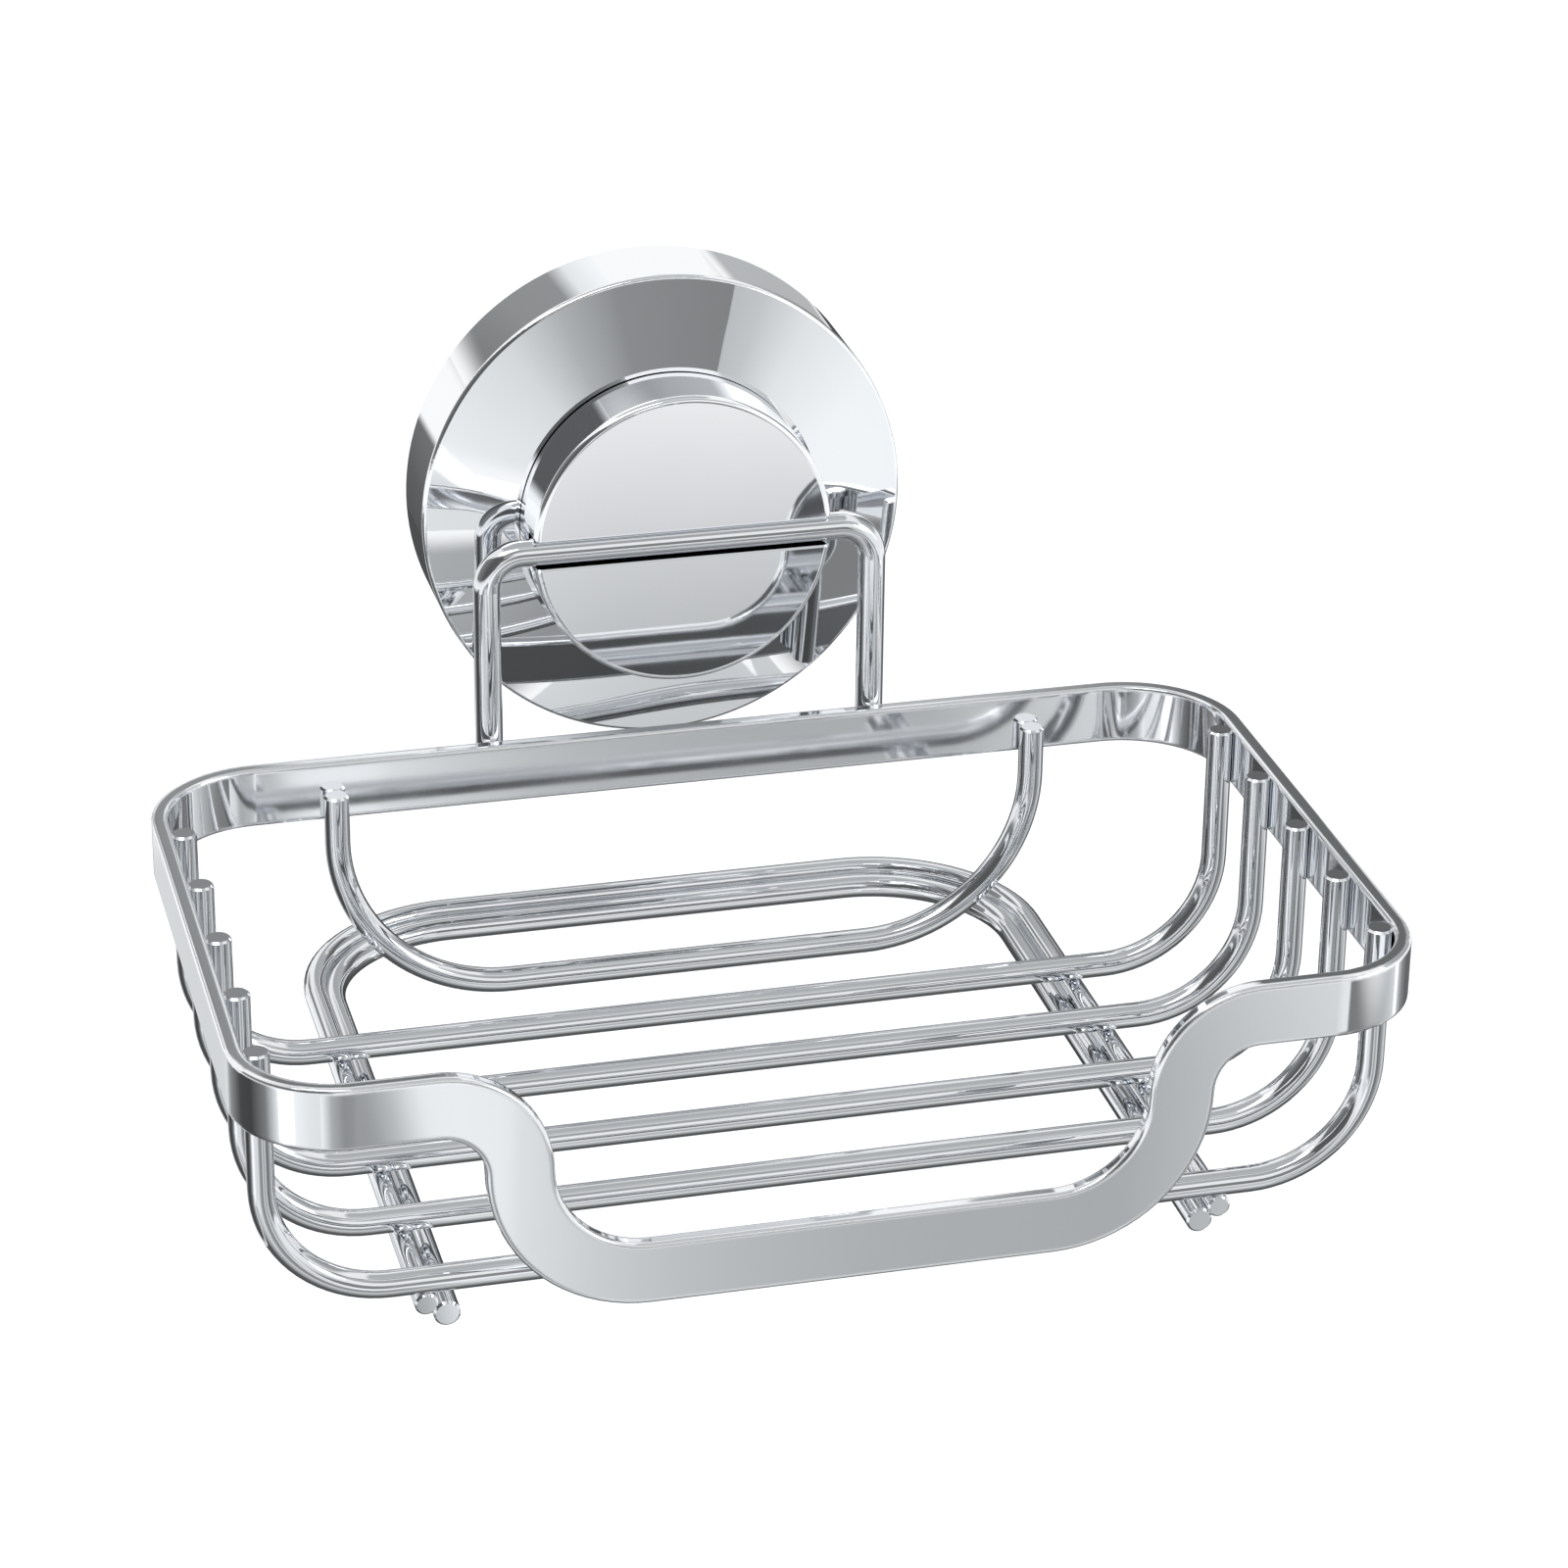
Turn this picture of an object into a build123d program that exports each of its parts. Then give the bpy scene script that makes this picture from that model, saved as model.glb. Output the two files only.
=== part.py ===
"""Wall soap holder: a wire basket hung on a twist-lock suction unit.

Frame: millimetres, +Z up, X along the basket, -Y towards the room. The origin is the centre of
the suction pad on the wall, and the wall is the plane y = 0. Depths are counted from the wall
towards the room, so a depth d lies at y = -d.
"""
import os
from math import cos, radians, sin

from build123d import *

os.makedirs("parts", exist_ok=True)

# Driving dimensions of the basket
basket_width = 140.0
basket_depth = 86.0
rear_corner_radius = 14.4
front_corner_radius = 12.5
strip_height = 7.8
strip_thickness = 2.0
strip_edge_round = 0.45
rim_drop = 25.1

# Front dip of the rim strip, along the strip's upper edge
dip_depth = 24.3
dip_side_setback = 35.0
dip_shoulder_radius = 13.2

# Wires of the basket
wire_gauge = 3.2
wire_end_chamfer = 0.25
weld_bite = 0.15
cross_wire_count = 5
cross_wire_rear_setback = 17.1
cross_wire_front_setback = 11.7
cross_wire_bend = 14.5
cross_wire_drop = 0.3
cradle_depth = 34.0
rear_wire_side_setback = 24.4
rear_wire_bend = 22.0
rear_wire_drop = 3.8

# Runner loops under the basket
outer_runner_gauge = 2.8
runner_side_setback = 21.9
runner_bend = 21.0
runner_front_setback = 10.7
runner_wall_gap = 0.2
runner_nest_angle = 33.0

# Hanger wire
hanger_gauge = 3.5
hanger_half_span = 25.0
hanger_bend = 4.5
hanger_tail_step = 0.8

# Cover of the suction unit
cover_diameter = 62.4
cover_wall_gap = 2.0
cover_rim_depth = 13.6
cover_seat_depth = 16.0
cover_wall = 1.5
cover_edge_round = 0.6

# Knob
knob_diameter = 38.4
knob_height = 8.85
knob_face_round = 0.8
knob_wall = 1.8
knob_cover_gap = 0.3
slot_clearance = 0.1
slot_drop = 0.5
slot_web = 1.5
slot_lip_chamfer = 0.25
boss_floor = 1.0
boss_rim = 0.5

# Cam barrel, cross pin and stem
barrel_diameter = 15.0
barrel_flange_diameter = 24.0
barrel_flange_thickness = 1.4
cam_lead = 12.0
lock_turn = 90.0
pin_diameter = 2.0
pin_length = 14.0
pin_seat_step = 1.0
cam_slot_clearance = 0.3
cam_slot_overtravel = 22.0
stem_diameter = 6.0
stem_flats = 4.8
stem_front_gap = 0.5
running_clearance = 0.08

# Stem plate moulded into the pad
plate_diameter = 16.0
plate_thickness = 1.2
plate_hole_count = 6
plate_hole_diameter = 2.0
plate_hole_circle = 11.5

# Suction pad, in its locked and hollowed state
pad_diameter = 58.0
pad_rim_thickness = 2.2
pad_lip_thickness = 0.9
pad_lip_width = 1.0
pad_seal_inner_radius = 21.0
pad_hollow_radius = 8.5
pad_hollow_depth = 3.4
pad_skin = 0.8
pad_neck_radius = 10.5

# Pressure cup
cup_clearance = 0.1
cup_wall = 2.2
cup_floor_depth = 8.0
cup_floor_thickness = 2.0
cup_guide_depth = 10.5
cup_collar_wall = 1.9
cup_rib_count = 8
cup_rib_width = 1.6
cup_rib_height = 1.8

# Thrust washer, wire pad and screws
washer_thickness = 0.8
washer_clearance = 0.2
wire_pad_thickness = 0.75
wire_pad_length = 20.0
screw_diameter = 2.2
screw_head_diameter = 3.8
screw_length = 6.0
screw_head_taper = 45.0
screw_circle = 19.6
screw_recess_width = 0.5
screw_recess_depth = 0.5
screw_recess_length = 2.6

# One overrun for every cut
overrun = 1.0

# Places worked out from the sizes above
rim_top = -rim_drop
rim_base = rim_top - strip_height
knob_rear_depth = cover_seat_depth + knob_cover_gap
knob_face_depth = knob_rear_depth + knob_height
rail_standoff = knob_face_depth - weld_bite
rail_back = -rail_standoff
rim_front = rail_back - basket_depth
wire_radius = wire_gauge / 2
cross_wire_x = basket_width / 2 - strip_thickness - wire_radius + weld_bite
cross_wire_z = rim_top - cradle_depth + wire_radius
hanger_radius = hanger_gauge / 2
hanger_depth = knob_face_depth - hanger_radius
knob_radius = knob_diameter / 2
slot_height = hanger_gauge + 2 * slot_clearance
slot_seat_depth = hanger_depth - hanger_radius - slot_clearance
slot_floor_depth = slot_seat_depth - wire_pad_thickness
barrel_front_depth = slot_floor_depth - boss_floor
stem_front_depth = barrel_front_depth - stem_front_gap
flange_front_depth = knob_rear_depth + barrel_flange_thickness
flange_radius = barrel_flange_diameter / 2
boss_radius = flange_radius + boss_rim
barrel_radius = barrel_diameter / 2
bore_radius = barrel_radius + running_clearance
collar_radius = bore_radius + cup_collar_wall
cover_radius = cover_diameter / 2
plate_depth = pad_hollow_depth + pad_skin
screw_radius = screw_circle / 2
screw_head_height = (screw_head_diameter - screw_diameter) / 2
pin_rest_depth = cover_seat_depth + pin_seat_step
dip_foot_radius = dip_depth - dip_shoulder_radius
dip_wall_x = basket_width / 2 - dip_side_setback
dip_shoulder_x = dip_wall_x + dip_shoulder_radius
dip_foot_x = dip_wall_x - dip_foot_radius


def revolved(outline):
    """Turn a closed outline of (radius, depth) points about the wall normal."""
    with BuildPart() as body:
        with BuildSketch(Plane.XY):
            with BuildLine():
                Polyline([(r, -d) for r, d in outline], close=True)
            make_face()
        revolve(axis=Axis.Y)
    return body.part


def swept_wire(path, gauge):
    """Round wire of the given gauge along a path, with its two cut ends broken."""
    with BuildPart() as wire:
        with BuildSketch(Plane(origin=path @ 0, z_dir=path % 0)):
            Circle(gauge / 2)
        sweep(path=path)
        chamfer(wire.faces().filter_by(GeomType.PLANE).edges(), wire_end_chamfer)
    return wire.part


def upright_path(half_span, depth, ends, level, bend):
    """Leg, round bend, level run, round bend and leg in one plane parallel to the wall."""
    with BuildLine(Plane.XZ.offset(depth)) as path:
        FilletPolyline(
            (-half_span, ends),
            (-half_span, level),
            (half_span, level),
            (half_span, ends),
            radius=bend,
        )
    return path.wire()


def runner_path(half_span, front, back, height, bend):
    """Flat loop open to the front: side run, run along the wall and side run."""
    with BuildLine(Plane.XY.offset(height)) as path:
        FilletPolyline(
            (-half_span, front),
            (-half_span, back),
            (half_span, back),
            (half_span, front),
            radius=bend,
        )
    return path.wire()


def save(part, name):
    """Label one finished piece and write it as its own node."""
    part.label = name
    export_step(part, f"parts/{name}.step")


# Rim strip: flat bar bent round the basket, its front run dropped in a wide dip
with BuildPart() as rim_strip:
    with BuildSketch(Plane.XY.offset(rim_base)):
        with Locations((0, (rail_back + rim_front) / 2)):
            Rectangle(basket_width, basket_depth)
        fillet(vertices().group_by(Axis.Y)[0], front_corner_radius)
        fillet(vertices().group_by(Axis.Y)[-1], rear_corner_radius)
        offset(amount=-strip_thickness, mode=Mode.SUBTRACT)
        with Locations((0, rim_front)):
            Rectangle(2 * dip_shoulder_x, 2 * (strip_thickness + overrun), mode=Mode.SUBTRACT)
    extrude(amount=strip_height)
    with BuildSketch(Plane.XZ.offset(-rim_front - strip_thickness)):
        with BuildLine():
            floor = Line((0, rim_top - dip_depth), (dip_foot_x, rim_top - dip_depth))
            foot = JernArc(start=floor @ 1, tangent=floor % 1, radius=dip_foot_radius, arc_size=90)
            crest = JernArc(start=foot @ 1, tangent=foot % 1, radius=dip_shoulder_radius, arc_size=-90)
            lap_x = dip_shoulder_x + strip_thickness
            Polyline(crest @ 1, (lap_x, rim_top), (lap_x, rim_base), (dip_shoulder_x, rim_base))
            pit = JernArc(
                start=(dip_shoulder_x, rim_base),
                tangent=(-1, 0),
                radius=dip_shoulder_radius - strip_height,
                arc_size=90,
            )
            heel = JernArc(
                start=pit @ 1, tangent=pit % 1, radius=dip_foot_radius + strip_height, arc_size=-90
            )
            Line(heel @ 1, (0, rim_top - dip_depth - strip_height))
            mirror(about=Plane.YZ)
        make_face()
    extrude(amount=strip_thickness)
    fillet(rim_strip.edges(), strip_edge_round)
save(rim_strip.part, "rim_strip")

# Cross wires: five like bows from side to side, which carry the soap
cross_wire_span = basket_depth - cross_wire_rear_setback - cross_wire_front_setback
cross_wire_pitch = cross_wire_span / (cross_wire_count - 1)
for number in range(cross_wire_count):
    depth = rail_standoff + cross_wire_rear_setback + number * cross_wire_pitch
    path = upright_path(
        cross_wire_x, depth, rim_top - cross_wire_drop, cross_wire_z, cross_wire_bend
    )
    save(swept_wire(path, wire_gauge), f"cross_wire_{number + 1}")

# Rear wire: a shorter bow on the rear rail
rear_wire_depth = rail_standoff + strip_thickness + wire_radius - weld_bite
rear_wire_half_span = basket_width / 2 - rear_wire_side_setback
rear_path = upright_path(
    rear_wire_half_span, rear_wire_depth, rim_top - rear_wire_drop, cross_wire_z, rear_wire_bend
)
save(swept_wire(rear_path, wire_gauge), "rear_wire")

# Runner loops: two nested loops under the bows, whose rear runs rest against the wall
runner_half_span = basket_width / 2 - runner_side_setback
outer_runner_radius = outer_runner_gauge / 2
outer_runner_z = cross_wire_z - wire_radius - outer_runner_radius + weld_bite
outer_runner_back = -(runner_wall_gap + outer_runner_radius)
runner_front = rim_front + runner_front_setback
nest_pitch = outer_runner_radius + wire_radius - weld_bite
nest_inset = nest_pitch * cos(radians(runner_nest_angle))
nest_drop = nest_pitch * sin(radians(runner_nest_angle))
outer_path = runner_path(
    runner_half_span, runner_front, outer_runner_back, outer_runner_z, runner_bend
)
inner_path = runner_path(
    runner_half_span - nest_inset,
    runner_front,
    outer_runner_back - nest_inset,
    outer_runner_z - nest_drop,
    runner_bend - nest_inset,
)
save(swept_wire(outer_path, outer_runner_gauge), "outer_runner")
save(swept_wire(inner_path, wire_gauge), "inner_runner")

# Hanger wire: stirrup welded behind the rear rail, whose level run sits in the knob's slot
hanger_path = upright_path(
    hanger_half_span, hanger_depth, rim_base + hanger_tail_step, -slot_drop, hanger_bend
)
save(swept_wire(hanger_path, hanger_gauge), "hanger_wire")

# Cover: plated shell with a straight skirt, a conical face and a flat seat round its hole
seat_radius = knob_radius + cover_edge_round
hole_radius = collar_radius + cup_clearance
inner_radius = cover_radius - cover_wall
cone_slope = (cover_seat_depth - cover_rim_depth) / (cover_radius - seat_radius)
inner_rim_depth = cover_rim_depth - cover_wall + cover_wall * cone_slope
cover_outline = [
    (cover_radius, cover_wall_gap),
    (cover_radius, cover_rim_depth),
    (seat_radius, cover_seat_depth),
    (hole_radius, cover_seat_depth),
    (hole_radius, cover_seat_depth - cover_wall),
    (seat_radius, cover_seat_depth - cover_wall),
    (inner_radius, inner_rim_depth),
    (inner_radius, cover_wall_gap),
]
with BuildPart() as cover:
    add(revolved(cover_outline))
    rim_edges = cover.edges().filter_by(GeomType.CIRCLE).filter_by(
        lambda edge: edge.radius > inner_radius + cover_edge_round
    )
    fillet(rim_edges.sort_by(Axis.Y)[0], cover_edge_round)
save(cover.part, "cover")

# Suction pad: soft disc with a sealing lip, drawn hollow round the moulded-in plate
pad_radius = pad_diameter / 2
plate_radius = plate_diameter / 2
plate_front = plate_depth + plate_thickness
pad_front = plate_front + pad_skin
pad_outline = [
    (pad_radius, 0),
    (pad_radius, pad_lip_thickness),
    (pad_radius - pad_lip_width, pad_rim_thickness),
    (pad_seal_inner_radius, pad_rim_thickness),
    (pad_neck_radius, pad_front),
    (stem_diameter / 2, pad_front),
    (stem_diameter / 2, plate_front),
    (plate_radius, plate_front),
    (plate_radius, plate_depth),
    (0, plate_depth),
    (0, pad_hollow_depth),
    (pad_hollow_radius, pad_hollow_depth),
    (pad_seal_inner_radius, 0),
]
with BuildPart() as suction_pad:
    add(revolved(pad_outline))
    with BuildSketch(Plane.XZ.offset(plate_depth)):
        with PolarLocations(plate_hole_circle / 2, plate_hole_count):
            Circle(plate_hole_diameter / 2)
    extrude(amount=plate_thickness)
save(suction_pad.part, "suction_pad")

# Stem plate: perforated disc that anchors the stem in the pad
with BuildPart() as stem_plate:
    with BuildSketch(Plane.XZ.offset(plate_depth)):
        Circle(plate_radius)
        with PolarLocations(plate_hole_circle / 2, plate_hole_count):
            Circle(plate_hole_diameter / 2, mode=Mode.SUBTRACT)
    extrude(amount=plate_thickness)
save(stem_plate.part, "stem_plate")

# Stem: round post with two flats that keep it from turning, cross drilled for the pin
stem_radius = stem_diameter / 2
pin_radius = pin_diameter / 2
with BuildPart() as stem:
    with BuildSketch(Plane.XZ.offset(plate_front)):
        Circle(stem_radius)
    extrude(amount=stem_front_depth - plate_front)
    with BuildSketch(Plane.XZ.offset(pad_front)):
        Rectangle(stem_diameter + overrun, stem_diameter + overrun)
        Rectangle(stem_flats, stem_diameter + overrun, mode=Mode.SUBTRACT)
    extrude(amount=stem_front_depth - pad_front + overrun, mode=Mode.SUBTRACT)
    with Locations(Plane(origin=(0, -pin_rest_depth, 0), z_dir=(0, 0, 1))):
        Cylinder(pin_radius, stem_diameter + overrun, mode=Mode.SUBTRACT)
    chamfer(stem.faces().sort_by(Axis.Y)[0].edges(), wire_end_chamfer)
save(stem.part, "stem")

# Cam pin: cross pin through the stem, which rides in the barrel's helical slots
with BuildPart() as cam_pin:
    with Locations(Plane(origin=(0, -pin_rest_depth, 0), z_dir=(0, 0, 1))):
        Cylinder(pin_radius, pin_length)
    chamfer(cam_pin.edges(), wire_end_chamfer)
save(cam_pin.part, "cam_pin")

# Pressure cup: ribbed dish that presses the pad's lip, with a keyed guide and a collar
foot_radius = inner_radius - cup_clearance
cup_outline = [
    (foot_radius, pad_rim_thickness),
    (foot_radius, cup_floor_depth + cup_floor_thickness),
    (collar_radius, cup_floor_depth + cup_floor_thickness),
    (collar_radius, cover_seat_depth),
    (bore_radius, cover_seat_depth),
    (bore_radius, cup_guide_depth),
    (0, cup_guide_depth),
    (0, cup_floor_depth),
    (foot_radius - cup_wall, cup_floor_depth),
    (foot_radius - cup_wall, pad_rim_thickness),
]
rib_inner = collar_radius - overrun
rib_outer = foot_radius - cup_wall
with BuildPart() as pressure_cup:
    add(revolved(cup_outline))
    with BuildSketch(Plane.XZ.offset(cup_floor_depth + cup_floor_thickness)):
        with PolarLocations((rib_inner + rib_outer) / 2, cup_rib_count):
            Rectangle(rib_outer - rib_inner, cup_rib_width)
        Circle(bore_radius, mode=Mode.SUBTRACT)
    extrude(amount=cup_rib_height)
    with BuildSketch(Plane.XZ.offset(cup_floor_depth - overrun)):
        Circle(stem_radius + running_clearance)
        Rectangle(
            stem_flats + 2 * running_clearance, stem_diameter + overrun, mode=Mode.INTERSECT
        )
    extrude(amount=cup_guide_depth - cup_floor_depth + 2 * overrun, mode=Mode.SUBTRACT)
save(pressure_cup.part, "pressure_cup")

# Thrust washer: slip ring between the cup's guide and the barrel
with BuildPart() as thrust_washer:
    with BuildSketch(Plane.XZ.offset(cup_guide_depth)):
        Circle(bore_radius - washer_clearance)
        Circle(stem_radius + washer_clearance, mode=Mode.SUBTRACT)
    extrude(amount=washer_thickness)
save(thrust_washer.part, "thrust_washer")

# Cam barrel: flanged sleeve that turns with the knob and draws the pin outward
barrel_rear_depth = cup_guide_depth + washer_thickness + running_clearance
barrel_outline = [
    (stem_radius + running_clearance, barrel_rear_depth),
    (stem_radius + running_clearance, barrel_front_depth),
    (barrel_radius, barrel_front_depth),
    (barrel_radius, flange_front_depth),
    (flange_radius, flange_front_depth),
    (flange_radius, knob_rear_depth),
    (barrel_radius, knob_rear_depth),
    (barrel_radius, barrel_rear_depth),
]
slot_turn = lock_turn + 2 * cam_slot_overtravel
slot_start_y = -pin_rest_depth - cam_lead * cam_slot_overtravel / 360
slot_mid_radius = (stem_radius + barrel_radius) / 2
slot_path = Rot(0, -cam_slot_overtravel, 0) * Helix(
    pitch=cam_lead,
    height=cam_lead * slot_turn / 360,
    radius=slot_mid_radius,
    center=(0, slot_start_y, 0),
    direction=(0, 1, 0),
)
lead_in = radians(cam_slot_overtravel)
slot_plane = Plane(origin=slot_path @ 0, x_dir=(0, 1, 0), z_dir=(cos(lead_in), 0, sin(lead_in)))
with BuildPart() as cam_slot:
    with BuildSketch(slot_plane):
        Rectangle(pin_diameter + 2 * cam_slot_clearance, barrel_radius - stem_radius + 2 * overrun)
    sweep(path=slot_path, is_frenet=True)
with BuildPart() as cam_barrel:
    add(revolved(barrel_outline))
    add(cam_slot.part, mode=Mode.SUBTRACT)
    add(cam_slot.part.rotate(Axis.Y, 180), mode=Mode.SUBTRACT)
    with BuildSketch(Plane.XZ.offset(knob_rear_depth)):
        with Locations((0, screw_radius), (0, -screw_radius)):
            Circle(screw_head_diameter / 2)
    extrude(amount=screw_head_height, taper=screw_head_taper, mode=Mode.SUBTRACT)
    with BuildSketch(Plane.XZ.offset(knob_rear_depth)):
        with Locations((0, screw_radius), (0, -screw_radius)):
            Circle(screw_diameter / 2)
    extrude(amount=barrel_flange_thickness, mode=Mode.SUBTRACT)
save(cam_barrel.part, "cam_barrel")

# Knob: plated dial with a mirror face, split from side to side by the hanger's slot
face_back_depth = knob_face_depth - knob_wall
wall_radius = knob_radius - knob_wall
knob_outline = [
    (0, face_back_depth),
    (wall_radius, face_back_depth),
    (wall_radius, knob_rear_depth),
    (knob_radius, knob_rear_depth),
    (knob_radius, knob_face_depth),
    (0, knob_face_depth),
]
with BuildPart() as knob:
    add(revolved(knob_outline))
    fillet(knob.edges().sort_by(Axis.Y)[0], knob_face_round)
    with BuildSketch(Plane.XZ.offset(slot_floor_depth - slot_web)):
        with Locations((0, -slot_drop)):
            Rectangle(knob_diameter, slot_height + 2 * slot_web)
        Circle(wall_radius, mode=Mode.INTERSECT)
    extrude(amount=face_back_depth - slot_floor_depth + slot_web)
    with BuildSketch(Plane.XZ.offset(flange_front_depth)):
        Circle(boss_radius)
    extrude(amount=face_back_depth - flange_front_depth)
    with BuildSketch(Plane.XZ.offset(flange_front_depth)):
        Circle(barrel_radius)
    extrude(amount=barrel_front_depth - flange_front_depth, mode=Mode.SUBTRACT)
    with BuildSketch(Plane.XZ.offset(slot_seat_depth)):
        with Locations((0, -slot_drop)):
            Rectangle(knob_diameter + overrun, slot_height)
    extrude(amount=knob_face_depth - slot_seat_depth + overrun, mode=Mode.SUBTRACT)
    lips = knob.edges().filter_by(Axis.X).group_by(Axis.Y)[0]
    chamfer(lips, slot_lip_chamfer)
    with BuildSketch(Plane.XZ.offset(slot_floor_depth)):
        with Locations((0, -slot_drop)):
            Rectangle(wire_pad_length, slot_height)
    extrude(amount=wire_pad_thickness, mode=Mode.SUBTRACT)
    with BuildSketch(Plane.XZ.offset(flange_front_depth)):
        with Locations((0, screw_radius), (0, -screw_radius)):
            Circle(screw_diameter / 2)
    extrude(amount=screw_length - barrel_flange_thickness, mode=Mode.SUBTRACT)
save(knob.part, "knob")

# Wire pad: nylon cushion on the slot's floor, behind the hanger wire
with BuildPart() as wire_pad:
    with BuildSketch(Plane.XZ.offset(slot_floor_depth)):
        with Locations((0, -slot_drop)):
            Rectangle(wire_pad_length, slot_height)
    extrude(amount=wire_pad_thickness)
save(wire_pad.part, "wire_pad")

# Knob screws: two countersunk screws that hold the barrel's flange to the knob's boss
screw_outline = [
    (0, knob_rear_depth),
    (screw_head_diameter / 2, knob_rear_depth),
    (screw_diameter / 2, knob_rear_depth + screw_head_height),
    (screw_diameter / 2, knob_rear_depth + screw_length),
    (0, knob_rear_depth + screw_length),
]
screw_body = revolved(screw_outline)
with BuildPart() as knob_screws:
    with Locations((0, 0, screw_radius), (0, 0, -screw_radius)):
        add(screw_body)
    with BuildSketch(Plane.XZ.offset(knob_rear_depth)):
        with Locations((0, screw_radius), (0, -screw_radius)):
            Rectangle(screw_recess_length, screw_recess_width)
            Rectangle(screw_recess_width, screw_recess_length)
    extrude(amount=screw_recess_depth, mode=Mode.SUBTRACT)
save(knob_screws.part, "knob_screws")
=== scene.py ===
"""Wall soap holder: finishes of the chromed wire basket and its twist-lock suction unit, with the
studio that it is shown in."""

from math import cos, radians, sin, tan

import bmesh
import bpy
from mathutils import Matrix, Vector


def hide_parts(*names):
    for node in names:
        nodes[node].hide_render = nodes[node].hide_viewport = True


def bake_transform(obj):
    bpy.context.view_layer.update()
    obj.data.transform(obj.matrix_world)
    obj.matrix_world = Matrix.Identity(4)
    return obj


bl_info = {
    "name": "Wall soap holder",
    "version": (1, 0, 0),
    "blender": (4, 5, 0),
    "location": "3D View > Sidebar > Soap holder",
    "description": "Finishes a chromed wire soap basket with its suction unit, and lights it",
    "category": "Object",
}

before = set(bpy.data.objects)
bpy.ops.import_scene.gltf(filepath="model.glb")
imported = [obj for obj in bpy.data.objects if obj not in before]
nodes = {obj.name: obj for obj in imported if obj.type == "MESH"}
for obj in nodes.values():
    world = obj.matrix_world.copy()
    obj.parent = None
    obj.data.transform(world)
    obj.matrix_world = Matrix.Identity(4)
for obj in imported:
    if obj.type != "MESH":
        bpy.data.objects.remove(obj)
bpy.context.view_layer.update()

CHROMED_STRIP = ("rim_strip",)
CHROMED_WIRES = (
    "cross_wire_1",
    "cross_wire_2",
    "cross_wire_3",
    "cross_wire_4",
    "cross_wire_5",
    "rear_wire",
    "outer_runner",
    "inner_runner",
    "hanger_wire",
)
CHROMED_SHELLS = ("cover", "knob")
STEEL_PIECES = ("stem", "stem_plate", "cam_pin", "knob_screws")
NYLON_PIECES = ("thrust_washer", "wire_pad")
GREY_PIECES = ("pressure_cup", "cam_barrel")

WHITE = (1, 1, 1, 1)
BLACK = (0, 0, 0, 1)
STEEL_TINT = (0.6, 0.61, 0.62)
# Share of red, green and blue in the greys of the reflection cards
COOL_CAST = (0.97, 0.99, 1)
# Roughness of the cover and knob as a share of the wires' roughness
SHELL_GLOSS_SHARE = 0.6
# Band of noise values that a finish spreads over its own range
NOISE_BAND = (0.3, 0.7)
EDGE_SAMPLES = 8
# Sockets of a Mix node that mixes colours
MIX_FACTOR, MIX_FIRST, MIX_SECOND, MIX_RESULT = 0, 6, 7, 2
# Corners of a copied mesh that lie closer than this, in metres, become one
MERGE_DISTANCE = 0.000001
SENSOR_WIDTH = 36.0
CLIP_START = 0.01
CLIP_END = 20.0

# Point that the lamps and the reflection cards face
AIM = Vector((0, -0.05, -0.03))
# Square lamps: name, place, side in metres and the setting that holds the power
LAMPS = (
    ("softbox", (-0.5, -0.75, 0.9), 0.9, "softbox_power"),
    ("fill", (0.9, -0.7, 0.35), 0.7, "fill_power"),
)
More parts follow.
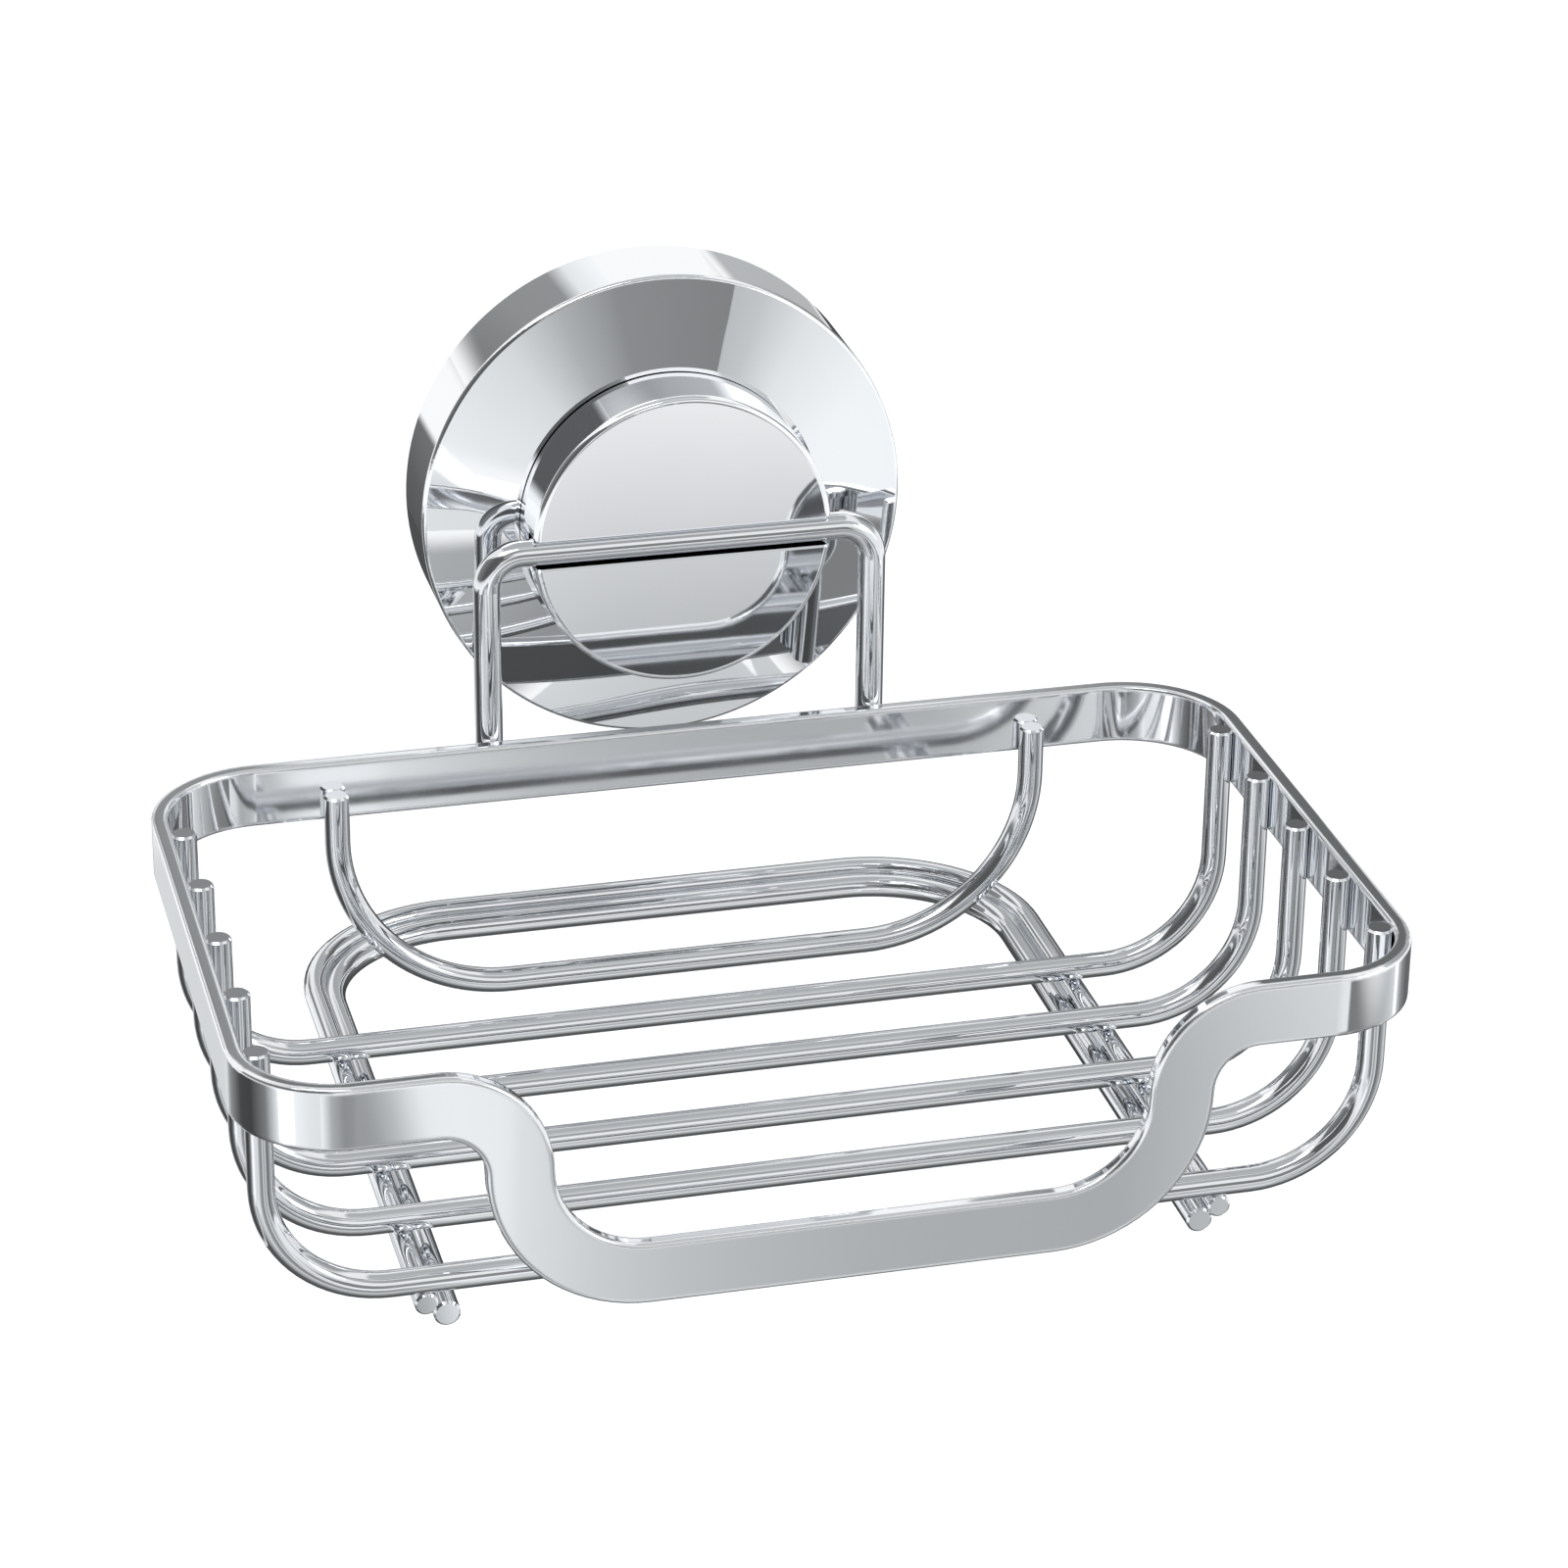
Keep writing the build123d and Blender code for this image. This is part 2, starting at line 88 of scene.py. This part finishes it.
# Standing reflection cards: name, distance in metres, lowest and highest elevation, share of the
# height that fades to white at the top and at the bottom, and (azimuth, tone) stops from left to
# right. Angles are in degrees, seen from AIM, with the front at azimuth 0 and the right at 90
STANDING_CARDS = (
    (
        "front left card", 0.55, -46, -21, 0.15,
        ((-30, 1), (-20, 0.46), (-8, 0.3), (2.6, 0.35), (3.35, 0.57), (4.1, 0.95), (9, 0.88)),
    ),
    (
        "front card", 0.55, -46, -13, 0.4,
        (
            (5, 0.82), (7.5, 0.66), (9.2, 0.58), (11, 0.52), (15.5, 0.46),
            (18, 0.455), (20.5, 0.45), (23, 0.56), (27, 0.76), (32, 0.8),
        ),
    ),
    ("brow card", 0.9, -14, 12.5, 0.15, ((-14, 0.9), (-6, 0.74), (0, 0.46), (7, 0.28), (21.5, 0.24))),
    (
        "brow right card", 0.9, -34, 12, 0.12,
        ((19, 0.52), (24, 0.6), (30, 0.82), (38, 0.96), (58, 1), (68, 1)),
    ),
    ("low left card", 0.9, -34, -12, 0.2, ((-52, 1), (-38, 0.86), (-14, 0.78))),
    (
        "high front card", 1.0, 30, 58, 0.25,
        ((-24, 0.25), (0, 0.36), (14, 0.44), (40, 0.52), (58, 0.75)),
    ),
    (
        "left flag", 0.5, -52, -12, 0.1,
        ((-150, 0.8), (-138, 0.3), (-115, 0.07), (-98, 0.06), (-80, 0.22), (-68, 0.9)),
    ),
    (
        "high left flag", 1.0, -6, 52, 0.15,
        ((-122, 0.3), (-90, 0.2), (-55, 0.11), (-18, 0.12), (-6, 0.3)),
    ),
    ("high right card", 1.0, 8, 50, 0.25, ((70, 0.8), (95, 0.45), (125, 0.35), (148, 0.6))),
    ("right flag", 0.5, -46, -21, 0.15, ((33, 0.2), (50, 0.23), (70, 0.43), (92, 0.74))),
    (
        "far right flag", 0.5, -46, -14, 0.1,
        ((95, 0.7), (103, 0.28), (116, 0.14), (128, 0.14), (140, 0.14)),
    ),
    ("low rear flag", 0.21, -56, 3, 0.04, ((122, 0.2), (145, 0.1), (165, 0.07), (196, 0.08))),
    ("rear brow card", 0.21, 2, 24.5, 0.1, ((151, 0.46), (160, 0.5), (175, 0.46), (187, 0.5))),
    ("rear right brow card", 0.21, 2, 37, 0.1, ((128, 0.15), (143, 0.16), (152, 0.4))),
    (
        "rear left brow card", 0.21, 15.4, 42, 0.24,
        ((181, 1), (186.5, 0.84), (189.5, 0.3), (197, 0.29), (204, 0.22), (209, 0.4), (214, 0.8)),
    ),
    ("rear high card", 0.21, 35, 46, 0.08, ((168, 0.3), (178, 0.2), (188, 0.19), (196, 0.2))),
    ("rear left flag", 0.42, -22, -2, 0.1, ((188, 0.09), (198, 0.12), (206, 0.2))),
    ("low rear left card", 0.42, -45, -23, 0.1, ((190, 0.75), (200, 0.7), (215, 0.8))),
    ("rear left card", 0.9, 4, 22, 0.4, ((194, 0.6), (203, 0.2), (214, 0.4))),
    ("rear right card", 0.9, -1, 16, 0.3, ((145, 0.7), (153, 0.45), (160, 0.7))),
)
# Level reflection cards: name, height, width, share of the width that fades to white at each
# side, and (depth, tone) stops from front to back, in metres
LEVEL_CARDS = (
    (
        "mat", -0.6, 1.6, 0.05,
        ((-0.9, 0.95), (-0.6, 0.7), (-0.4, 0.5), (-0.3, 0.4), (-0.2, 0.15), (0, 0.1), (0.75, 0.07)),
    ),
    ("top card", 1.3, 1.4, 0.1, ((-0.9, 0.7), (0, 0.5), (0.7, 0.6))),
)


def colour_property(name, description, default):
    return bpy.props.FloatVectorProperty(
        name=name, description=description, default=default, subtype="COLOR", size=3, min=0, max=1
    )


class ChromeSettings(bpy.types.PropertyGroup):
    shell_tint: colour_property("Shell tint", "Colour of the plated shells", (0.93, 0.945, 0.965))
    strip_tint: colour_property("Strip tint", "Colour of the plated strip", (0.9, 0.915, 0.935))
    # The wires' tint is set darker than the shells' plating of the same chrome: painted shade that
    # darkens the reflections on the wires
    painted_shade_wire_tint: colour_property("Wire tint with painted shade", "Colour of the plated wires", (0.8, 0.815, 0.838))
    gloss: bpy.props.FloatProperty(
        name="Roughness", description="Blur of the plated metal", default=0.035, subtype="FACTOR"
    )
    strip_gloss: bpy.props.FloatProperty(
        name="Strip roughness", description="Blur of the flat strip", default=0.05, subtype="FACTOR"
    )
    strip_edge: bpy.props.FloatProperty(
        name="Strip edge", description="Rolled edge of the flat strip", default=0.0006, unit="LENGTH"
    )


class PlasticSettings(bpy.types.PropertyGroup):
    grey: colour_property("Grey", "Colour of the pressure cup and barrel", (0.36, 0.38, 0.4))
    nylon: colour_property("Nylon", "Colour of the washer and wire pad", (0.8, 0.79, 0.75))
    pad: colour_property("Pad", "Colour of the soft suction pad", (0.62, 0.68, 0.7))
    pad_depth: bpy.props.FloatProperty(
        name="Pad glow", description="Depth of light in the pad", default=0.002, unit="LENGTH"
    )
    pad_rim: bpy.props.FloatProperty(
        name="Pad rim",
        description="Depth of the pad's rim, which stays on the wall",
        default=0.0022,
        unit="LENGTH",
    )
    pad_hollow: bpy.props.FloatProperty(
        name="Pad hollow",
        description="Depth of the pad's hollow, from where it follows the stem",
        default=0.0034,
        unit="LENGTH",
    )


class StudioSettings(bpy.types.PropertyGroup):
    camera_place: bpy.props.FloatVectorProperty(
        name="Camera",
        description="Place of the camera",
        default=(-0.1295, -0.5713, 0.2316),
        subtype="TRANSLATION",
        unit="LENGTH",
    )
    camera_turn: bpy.props.FloatVectorProperty(
        name="Camera turn",
        description="Turn of the camera about X, Y and Z",
        default=(radians(64.7), radians(-0.583), radians(-14.38)),
        subtype="EULER",
        unit="ROTATION",
    )
    lens: bpy.props.FloatProperty(
        name="Lens", description="Focal length in mm on a 36 mm sensor", default=110.78
    )
    floor_level: bpy.props.FloatProperty(
        name="Floor", description="Height of the pale floor", default=-0.62, unit="LENGTH"
    )
    floor_size: bpy.props.FloatProperty(
        name="Floor size", description="Side of the pale floor", default=6.0, unit="LENGTH"
    )
    floor_tone: colour_property("Floor tone", "Colour of the floor", (0.8, 0.81, 0.82))
    floor_lift: bpy.props.FloatProperty(
        name="Floor lift", description="Glow that brings the floor to the white background", default=0.6
    )
    world_tone: colour_property("World tone", "Colour of the light all round", (0.55, 0.56, 0.58))
    softbox_power: bpy.props.FloatProperty(
        name="Softbox", description="Power of the large soft lamp in watts", default=6.0
    )
    fill_power: bpy.props.FloatProperty(
        name="Fill", description="Power of the fill lamp in watts", default=2.0
    )


class Finish:
    """A new material whose nodes are laid out one after another."""

    def __init__(self, name):
        self.material = bpy.data.materials.new(name)
        self.material.use_nodes = True
        self.tree = self.material.node_tree
        self.shader = self.tree.nodes["Principled BSDF"]
        self.place = self.tree.nodes.new("ShaderNodeTexCoord")

    def node(self, kind, **settings):
        made = self.tree.nodes.new(kind)
        for key, value in settings.items():
            setattr(made, key, value)
        return made

    def link(self, source, target):
        self.tree.links.new(source, target)

    def noise(self, scale, detail=2.0, stretch=(1, 1, 1)):
        mapping = self.node("ShaderNodeMapping")
        mapping.inputs["Scale"].default_value = stretch
        self.link(self.place.outputs["Object"], mapping.inputs["Vector"])
        made = self.node("ShaderNodeTexNoise")
        made.inputs["Scale"].default_value = scale
        made.inputs["Detail"].default_value = detail
        self.link(mapping.outputs["Vector"], made.inputs["Vector"])
        return made.outputs["Fac"]

    def spread(self, source, low, high):
        made = self.node("ShaderNodeMapRange")
        made.inputs["From Min"].default_value, made.inputs["From Max"].default_value = NOISE_BAND
        made.inputs["To Min"].default_value = low
        made.inputs["To Max"].default_value = high
        self.link(source, made.inputs["Value"])
        return made.outputs["Result"]

    def tones(self, source, colour, change):
        ramp = self.node("ShaderNodeValToRGB")
        dark, light = ramp.color_ramp.elements
        dark.position, light.position = NOISE_BAND
        dark.color = [max(0, part - change) for part in colour] + [1]
        light.color = [min(1, part + change) for part in colour] + [1]
        self.link(source, ramp.inputs["Fac"])
        self.link(ramp.outputs["Color"], self.shader.inputs["Base Color"])

    def relief(self, source, depth, strength, edge_radius=0.0):
        bump = self.node("ShaderNodeBump")
        if edge_radius > 0:
            edge = self.node("ShaderNodeBevel", samples=EDGE_SAMPLES)
            edge.inputs["Radius"].default_value = edge_radius
            self.link(edge.outputs["Normal"], bump.inputs["Normal"])
        bump.inputs["Distance"].default_value = depth
        bump.inputs["Strength"].default_value = strength
        self.link(source, bump.inputs["Height"])
        self.link(bump.outputs["Normal"], self.shader.inputs["Normal"])


def chrome_finish(name, tint, gloss, stretch=(1, 1, 1), edge_radius=0.0):
    """Bright plating: mirror metal with faint polishing haze and hardly any orange peel."""
    finish = Finish(name)
    finish.shader.inputs["Metallic"].default_value = 1.0
    haze = finish.noise(scale=60.0, detail=3.0, stretch=stretch)
    finish.tones(haze, tint, change=0.012)
    finish.link(finish.spread(haze, gloss * 0.8, gloss * 1.25), finish.shader.inputs["Roughness"])
    peel = finish.noise(scale=220.0)
    finish.relief(peel, depth=0.00002, strength=0.05, edge_radius=edge_radius)
    return finish.material


def moulded_finish(name, colour, gloss, grain):
    """Injection-moulded plastic: fine spark texture and slight tone drift."""
    finish = Finish(name)
    drift = finish.noise(scale=35.0)
    finish.tones(drift, colour, change=0.015)
    finish.link(finish.spread(drift, gloss - 0.05, gloss + 0.07), finish.shader.inputs["Roughness"])
    finish.relief(finish.noise(scale=grain, detail=3.0), depth=0.0001, strength=0.25)
    return finish.material


def soft_pad_finish(name, colour, depth):
    """Clear-grey soft plastic that lets some light in, smooth on the sealing side."""
    finish = Finish(name)
    cloud = finish.noise(scale=45.0, detail=3.0)
    finish.tones(cloud, colour, change=0.02)
    finish.link(finish.spread(cloud, low=0.14, high=0.24), finish.shader.inputs["Roughness"])
    finish.shader.inputs["IOR"].default_value = 1.5
    finish.shader.inputs["Subsurface Weight"].default_value = 0.6
    finish.shader.inputs["Subsurface Radius"].default_value = (1.0, 1.0, 1.0)
    finish.shader.inputs["Subsurface Scale"].default_value = depth
    finish.shader.inputs["Coat Weight"].default_value = 0.3
    finish.shader.inputs["Coat Roughness"].default_value = 0.1
    finish.relief(finish.noise(scale=120.0), depth=0.00008, strength=0.2)
    return finish.material


def turned_steel_finish(name):
    """Turned stainless steel with rings about the wall normal."""
    finish = Finish(name)
    finish.shader.inputs["Metallic"].default_value = 1.0
    rings = finish.node("ShaderNodeTexWave", wave_type="RINGS", rings_direction="Y")
    rings.inputs["Scale"].default_value = 900.0
    rings.inputs["Distortion"].default_value = 0.6
    finish.link(finish.place.outputs["Object"], rings.inputs["Vector"])
    finish.tones(finish.noise(scale=80.0), STEEL_TINT, change=0.02)
    finish.link(
        finish.spread(rings.outputs["Fac"], low=0.22, high=0.34), finish.shader.inputs["Roughness"]
    )
    finish.relief(rings.outputs["Fac"], depth=0.00002, strength=0.3)
    return finish.material


def dress(names, material):
    """Give CAD nodes a finish in their first material slot."""
    for name in names:
        mesh = nodes[name].data
        mesh.materials.clear()
        mesh.materials.append(material)


def add_soft_pad(material):
    """Stand a merged copy of the pad, with the soft finish, in for the solid pad, which is hidden."""
    solid = nodes["suction_pad"]
    mesh = solid.data.copy()
    mesh.name = "soft_suction_pad"
    merged = bmesh.new()
    merged.from_mesh(mesh)
    bmesh.ops.remove_doubles(merged, verts=merged.verts, dist=MERGE_DISTANCE)
    merged.to_mesh(mesh)
    merged.free()
    mesh.materials.clear()
    mesh.materials.append(material)
    pad = bpy.data.objects.new("soft_suction_pad", mesh)
    pad.matrix_world = solid.matrix_world.copy()
    bpy.context.collection.objects.link(pad)
    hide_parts("suction_pad")
    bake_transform(pad)


def deselect_all():
    """Operators act on all that is selected, so nothing is before a new object is added."""
    bpy.ops.object.select_all(action="DESELECT")


class SOAPHOLDER_OT_stage(bpy.types.Operator):
    """Set up the pale floor, the soft lamps, the studio surround and the camera"""

    bl_idname = "soapholder.stage"
    bl_label = "Stage"

    def execute(self, context):
        studio = context.scene.soap_studio
        deselect_all()
        bpy.ops.mesh.primitive_plane_add(
            size=studio.floor_size, location=(0, 0, studio.floor_level)
        )
        floor = context.object
        floor.name = "floor"
        floor.data.materials.append(floor_finish("pale floor", studio.floor_tone, studio.floor_lift))
        for name, place, size, power in LAMPS:
            deselect_all()
            bpy.ops.object.light_add(type="AREA", location=place)
            lamp = context.object
            lamp.name = name
            lamp.data.shape = "SQUARE"
            lamp.data.size = size
            lamp.data.energy = getattr(studio, power)
            aim(lamp)
        for card in STANDING_CARDS:
            stand_card(*card)
        for card in LEVEL_CARDS:
            lay_card(*card)
        context.scene.world = surround("soft studio surround", studio.world_tone)
        bpy.ops.object.camera_add(location=studio.camera_place, rotation=studio.camera_turn)
        camera = context.object
        camera.data.sensor_width = SENSOR_WIDTH
        camera.data.lens = studio.lens
        camera.data.clip_start = CLIP_START
        camera.data.clip_end = CLIP_END
        context.scene.camera = camera
        context.scene.view_settings.view_transform = "Standard"
        return {"FINISHED"}


def aim(thing):
    """Turn a lamp so that it looks at the object."""
    way = AIM - thing.location
    thing.rotation_euler = way.to_track_quat("-Z", "Y").to_euler()


def seen_directly(tree):
    """1 for camera, glossy and transmitted rays, so that metal shows the white background too."""
    path = tree.nodes.new("ShaderNodeLightPath")
    either = tree.nodes.new("ShaderNodeMath")
    either.operation = "MAXIMUM"
    any_of = tree.nodes.new("ShaderNodeMath")
    any_of.operation = "MAXIMUM"
    tree.links.new(path.outputs["Is Camera Ray"], either.inputs[0])
    tree.links.new(path.outputs["Is Glossy Ray"], either.inputs[1])
    tree.links.new(either.outputs["Value"], any_of.inputs[0])
    tree.links.new(path.outputs["Is Transmission Ray"], any_of.inputs[1])
    return any_of.outputs["Value"]


def floor_finish(name, tone, lift):
    """Pale floor, lifted to the white of the background where it shows, so its shadows stay."""
    material = bpy.data.materials.new(name)
    material.use_nodes = True
    tree = material.node_tree
    shader = tree.nodes["Principled BSDF"]
    shader.inputs["Base Color"].default_value = (*tone, 1)
    shader.inputs["Roughness"].default_value = 0.8
    shader.inputs["Emission Color"].default_value = WHITE
    strength = tree.nodes.new("ShaderNodeMath")
    strength.operation = "MULTIPLY"
    strength.inputs[1].default_value = lift
    tree.links.new(seen_directly(tree), strength.inputs[0])
    tree.links.new(strength.outputs["Value"], shader.inputs["Emission Strength"])
    return material


def surround(name, tone):
    """White where it shows, and a soft pale light on everything else."""
    world = bpy.data.worlds.new(name)
    world.use_nodes = True
    tree = world.node_tree
    soft = tree.nodes["Background"]
    soft.inputs["Color"].default_value = (*tone, 1)
    white = tree.nodes.new("ShaderNodeBackground")
    white.inputs["Color"].default_value = WHITE
    mix = tree.nodes.new("ShaderNodeMixShader")
    tree.links.new(seen_directly(tree), mix.inputs["Fac"])
    tree.links.new(soft.outputs["Background"], mix.inputs[1])
    tree.links.new(white.outputs["Background"], mix.inputs[2])
    tree.links.new(mix.outputs["Shader"], tree.nodes["World Output"].inputs["Surface"])
    return world


def card_finish(name, tones, fade):
    """Even grey card whose tone changes along its width, faded to white at its top and bottom."""
    material = bpy.data.materials.new(name)
    material.use_nodes = True
    tree = material.node_tree
    tree.nodes.remove(tree.nodes["Principled BSDF"])
    place = tree.nodes.new("ShaderNodeTexCoord")
    parts = tree.nodes.new("ShaderNodeSeparateXYZ")
    tree.links.new(place.outputs["Object"], parts.inputs["Vector"])
    across = tree.nodes.new("ShaderNodeValToRGB")
    stops = across.color_ramp.elements
    for stop, (position, tone) in zip(stops, (tones[0], tones[-1])):
        stop.position = position
        stop.color = cool_grey(tone)
    for position, tone in tones[1:-1]:
        stops.new(position).color = cool_grey(tone)
    upward = tree.nodes.new("ShaderNodeValToRGB")
    upward.color_ramp.interpolation = "EASE"
    stops = upward.color_ramp.elements
    stops[0].color = stops[1].color = WHITE
    for position in (fade, 1 - fade):
        stops.new(position).color = BLACK
    for axis, ramp in (("X", across), ("Y", upward)):
        # A card's own coordinates run from -0.5 to 0.5, a ramp's from 0 to 1
        share = tree.nodes.new("ShaderNodeMath")
        share.operation = "ADD"
        share.inputs[1].default_value = 0.5
        tree.links.new(parts.outputs[axis], share.inputs[0])
        tree.links.new(share.outputs["Value"], ramp.inputs["Fac"])
    mix = tree.nodes.new("ShaderNodeMix")
    mix.data_type = "RGBA"
    mix.inputs[MIX_SECOND].default_value = WHITE
    tree.links.new(upward.outputs["Color"], mix.inputs[MIX_FACTOR])
    tree.links.new(across.outputs["Color"], mix.inputs[MIX_FIRST])
    glow = tree.nodes.new("ShaderNodeEmission")
    tree.links.new(mix.outputs[MIX_RESULT], glow.inputs["Color"])
    tree.links.new(glow.outputs["Emission"], tree.nodes["Material Output"].inputs["Surface"])
    return material


def cool_grey(tone):
    """Grey with a faint blue cast, as a colour with its alpha."""
    return (*(tone * share for share in COOL_CAST), 1)


def add_card(name, place, turn, size, fade, tones):
    """Add a grey card that only polished surfaces show."""
    deselect_all()
    bpy.ops.mesh.primitive_plane_add(size=1, location=place)
    card = bpy.context.object
    card.name = name
    card.rotation_euler = turn
    card.scale = (*size, 1)
    card.visible_camera = False
    card.visible_diffuse = False
    card.visible_shadow = False
    card.data.materials.append(card_finish(name, tones, fade))


def stand_card(name, distance, low, high, fade, stops):
    """Stand a card so that it faces the object."""
    left, right = radians(stops[0][0]), radians(stops[-1][0])
    turn, half_turn = (left + right) / 2, (right - left) / 2
    rise, half_rise = radians((low + high) / 2), radians((high - low) / 2)
    way = Vector((sin(turn) * cos(rise), -cos(turn) * cos(rise), sin(rise)))
    size = (2 * distance * tan(half_turn) * cos(rise), 2 * distance * tan(half_rise))
    tones = [
        (0.5 + tan(radians(azimuth) - turn) / (2 * tan(half_turn)), tone)
        for azimuth, tone in stops
    ]
    faced = way.to_track_quat("Z", "Y").to_euler()
    add_card(name, AIM + way * distance, faced, size, fade, tones)


def lay_card(name, level, width, fade, stops):
    """Lay a level card above or below the object, its tones running from front to back."""
    near, far = stops[0][0], stops[-1][0]
    tones = [((depth - near) / (far - near), tone) for depth, tone in stops]
    place = (0, (near + far) / 2, level)
    add_card(name, place, (0, 0, radians(90)), (far - near, width), fade, tones)


class SOAPHOLDER_OT_basket(bpy.types.Operator):
    """Plate the rim strip and the wires of the basket"""

    bl_idname = "soapholder.basket"
    bl_label = "Basket finish"

    def execute(self, context):
        chrome = context.scene.soap_chrome
        dress(
            CHROMED_STRIP,
            chrome_finish(
                "chromed strip",
                chrome.strip_tint,
                chrome.strip_gloss,
                stretch=(1, 1, 0.3),
                edge_radius=chrome.strip_edge,
            ),
        )
        # The wires get a darker copy of the plating: painted shade in their reflections
        dress(
            CHROMED_WIRES,
            chrome_finish("chromed wire", chrome.painted_shade_wire_tint, chrome.gloss),
        )
        return {"FINISHED"}


class SOAPHOLDER_OT_shells(bpy.types.Operator):
    """Plate the cover and the knob of the suction unit"""

    bl_idname = "soapholder.shells"
    bl_label = "Cover and knob finish"

    def execute(self, context):
        chrome = context.scene.soap_chrome
        dress(
            CHROMED_SHELLS,
            chrome_finish("chromed shell", chrome.shell_tint, chrome.gloss * SHELL_GLOSS_SHARE),
        )
        return {"FINISHED"}


class SOAPHOLDER_OT_suction(bpy.types.Operator):
    """Finish the soft pad, the moulded pieces and the steel pieces behind the cover"""

    bl_idname = "soapholder.suction"
    bl_label = "Suction works finish"

    def execute(self, context):
        plastic = context.scene.soap_plastic
        add_soft_pad(
            soft_pad_finish("soft clear pad", plastic.pad, plastic.pad_depth),
        )
        dress(GREY_PIECES, moulded_finish("grey moulding", plastic.grey, gloss=0.42, grain=900.0))
        dress(NYLON_PIECES, moulded_finish("white nylon", plastic.nylon, gloss=0.5, grain=700.0))
        dress(STEEL_PIECES, turned_steel_finish("turned steel"))
        return {"FINISHED"}


class SOAPHOLDER_PT_panel(bpy.types.Panel):
    bl_label = "Soap holder"
    bl_idname = "SOAPHOLDER_PT_panel"
    bl_space_type = "VIEW_3D"
    bl_region_type = "UI"
    bl_category = "Soap holder"

    def draw(self, context):
        layout = self.layout
        for settings in (
            context.scene.soap_chrome,
            context.scene.soap_plastic,
            context.scene.soap_studio,
        ):
            for key in settings.bl_rna.properties.keys():
                if key not in ("rna_type", "name"):
                    layout.prop(settings, key)
        for operator in OPERATORS:
            layout.operator(operator.bl_idname)


SETTINGS = (
    ("soap_chrome", ChromeSettings),
    ("soap_plastic", PlasticSettings),
    ("soap_studio", StudioSettings),
)
OPERATORS = (
    SOAPHOLDER_OT_stage,
    SOAPHOLDER_OT_basket,
    SOAPHOLDER_OT_shells,
    SOAPHOLDER_OT_suction,
)


def register():
    for key, group in SETTINGS:
        bpy.utils.register_class(group)
        setattr(bpy.types.Scene, key, bpy.props.PointerProperty(type=group))
    for operator in OPERATORS:
        bpy.utils.register_class(operator)
    bpy.utils.register_class(SOAPHOLDER_PT_panel)


def unregister():
    bpy.utils.unregister_class(SOAPHOLDER_PT_panel)
    for operator in reversed(OPERATORS):
        bpy.utils.unregister_class(operator)
    for key, group in reversed(SETTINGS):
        delattr(bpy.types.Scene, key)
        bpy.utils.unregister_class(group)


def main():
    register()
    bpy.ops.soapholder.stage()
    bpy.ops.soapholder.basket()
    bpy.ops.soapholder.shells()
    bpy.ops.soapholder.suction()


if __name__ == "__main__":
    main()
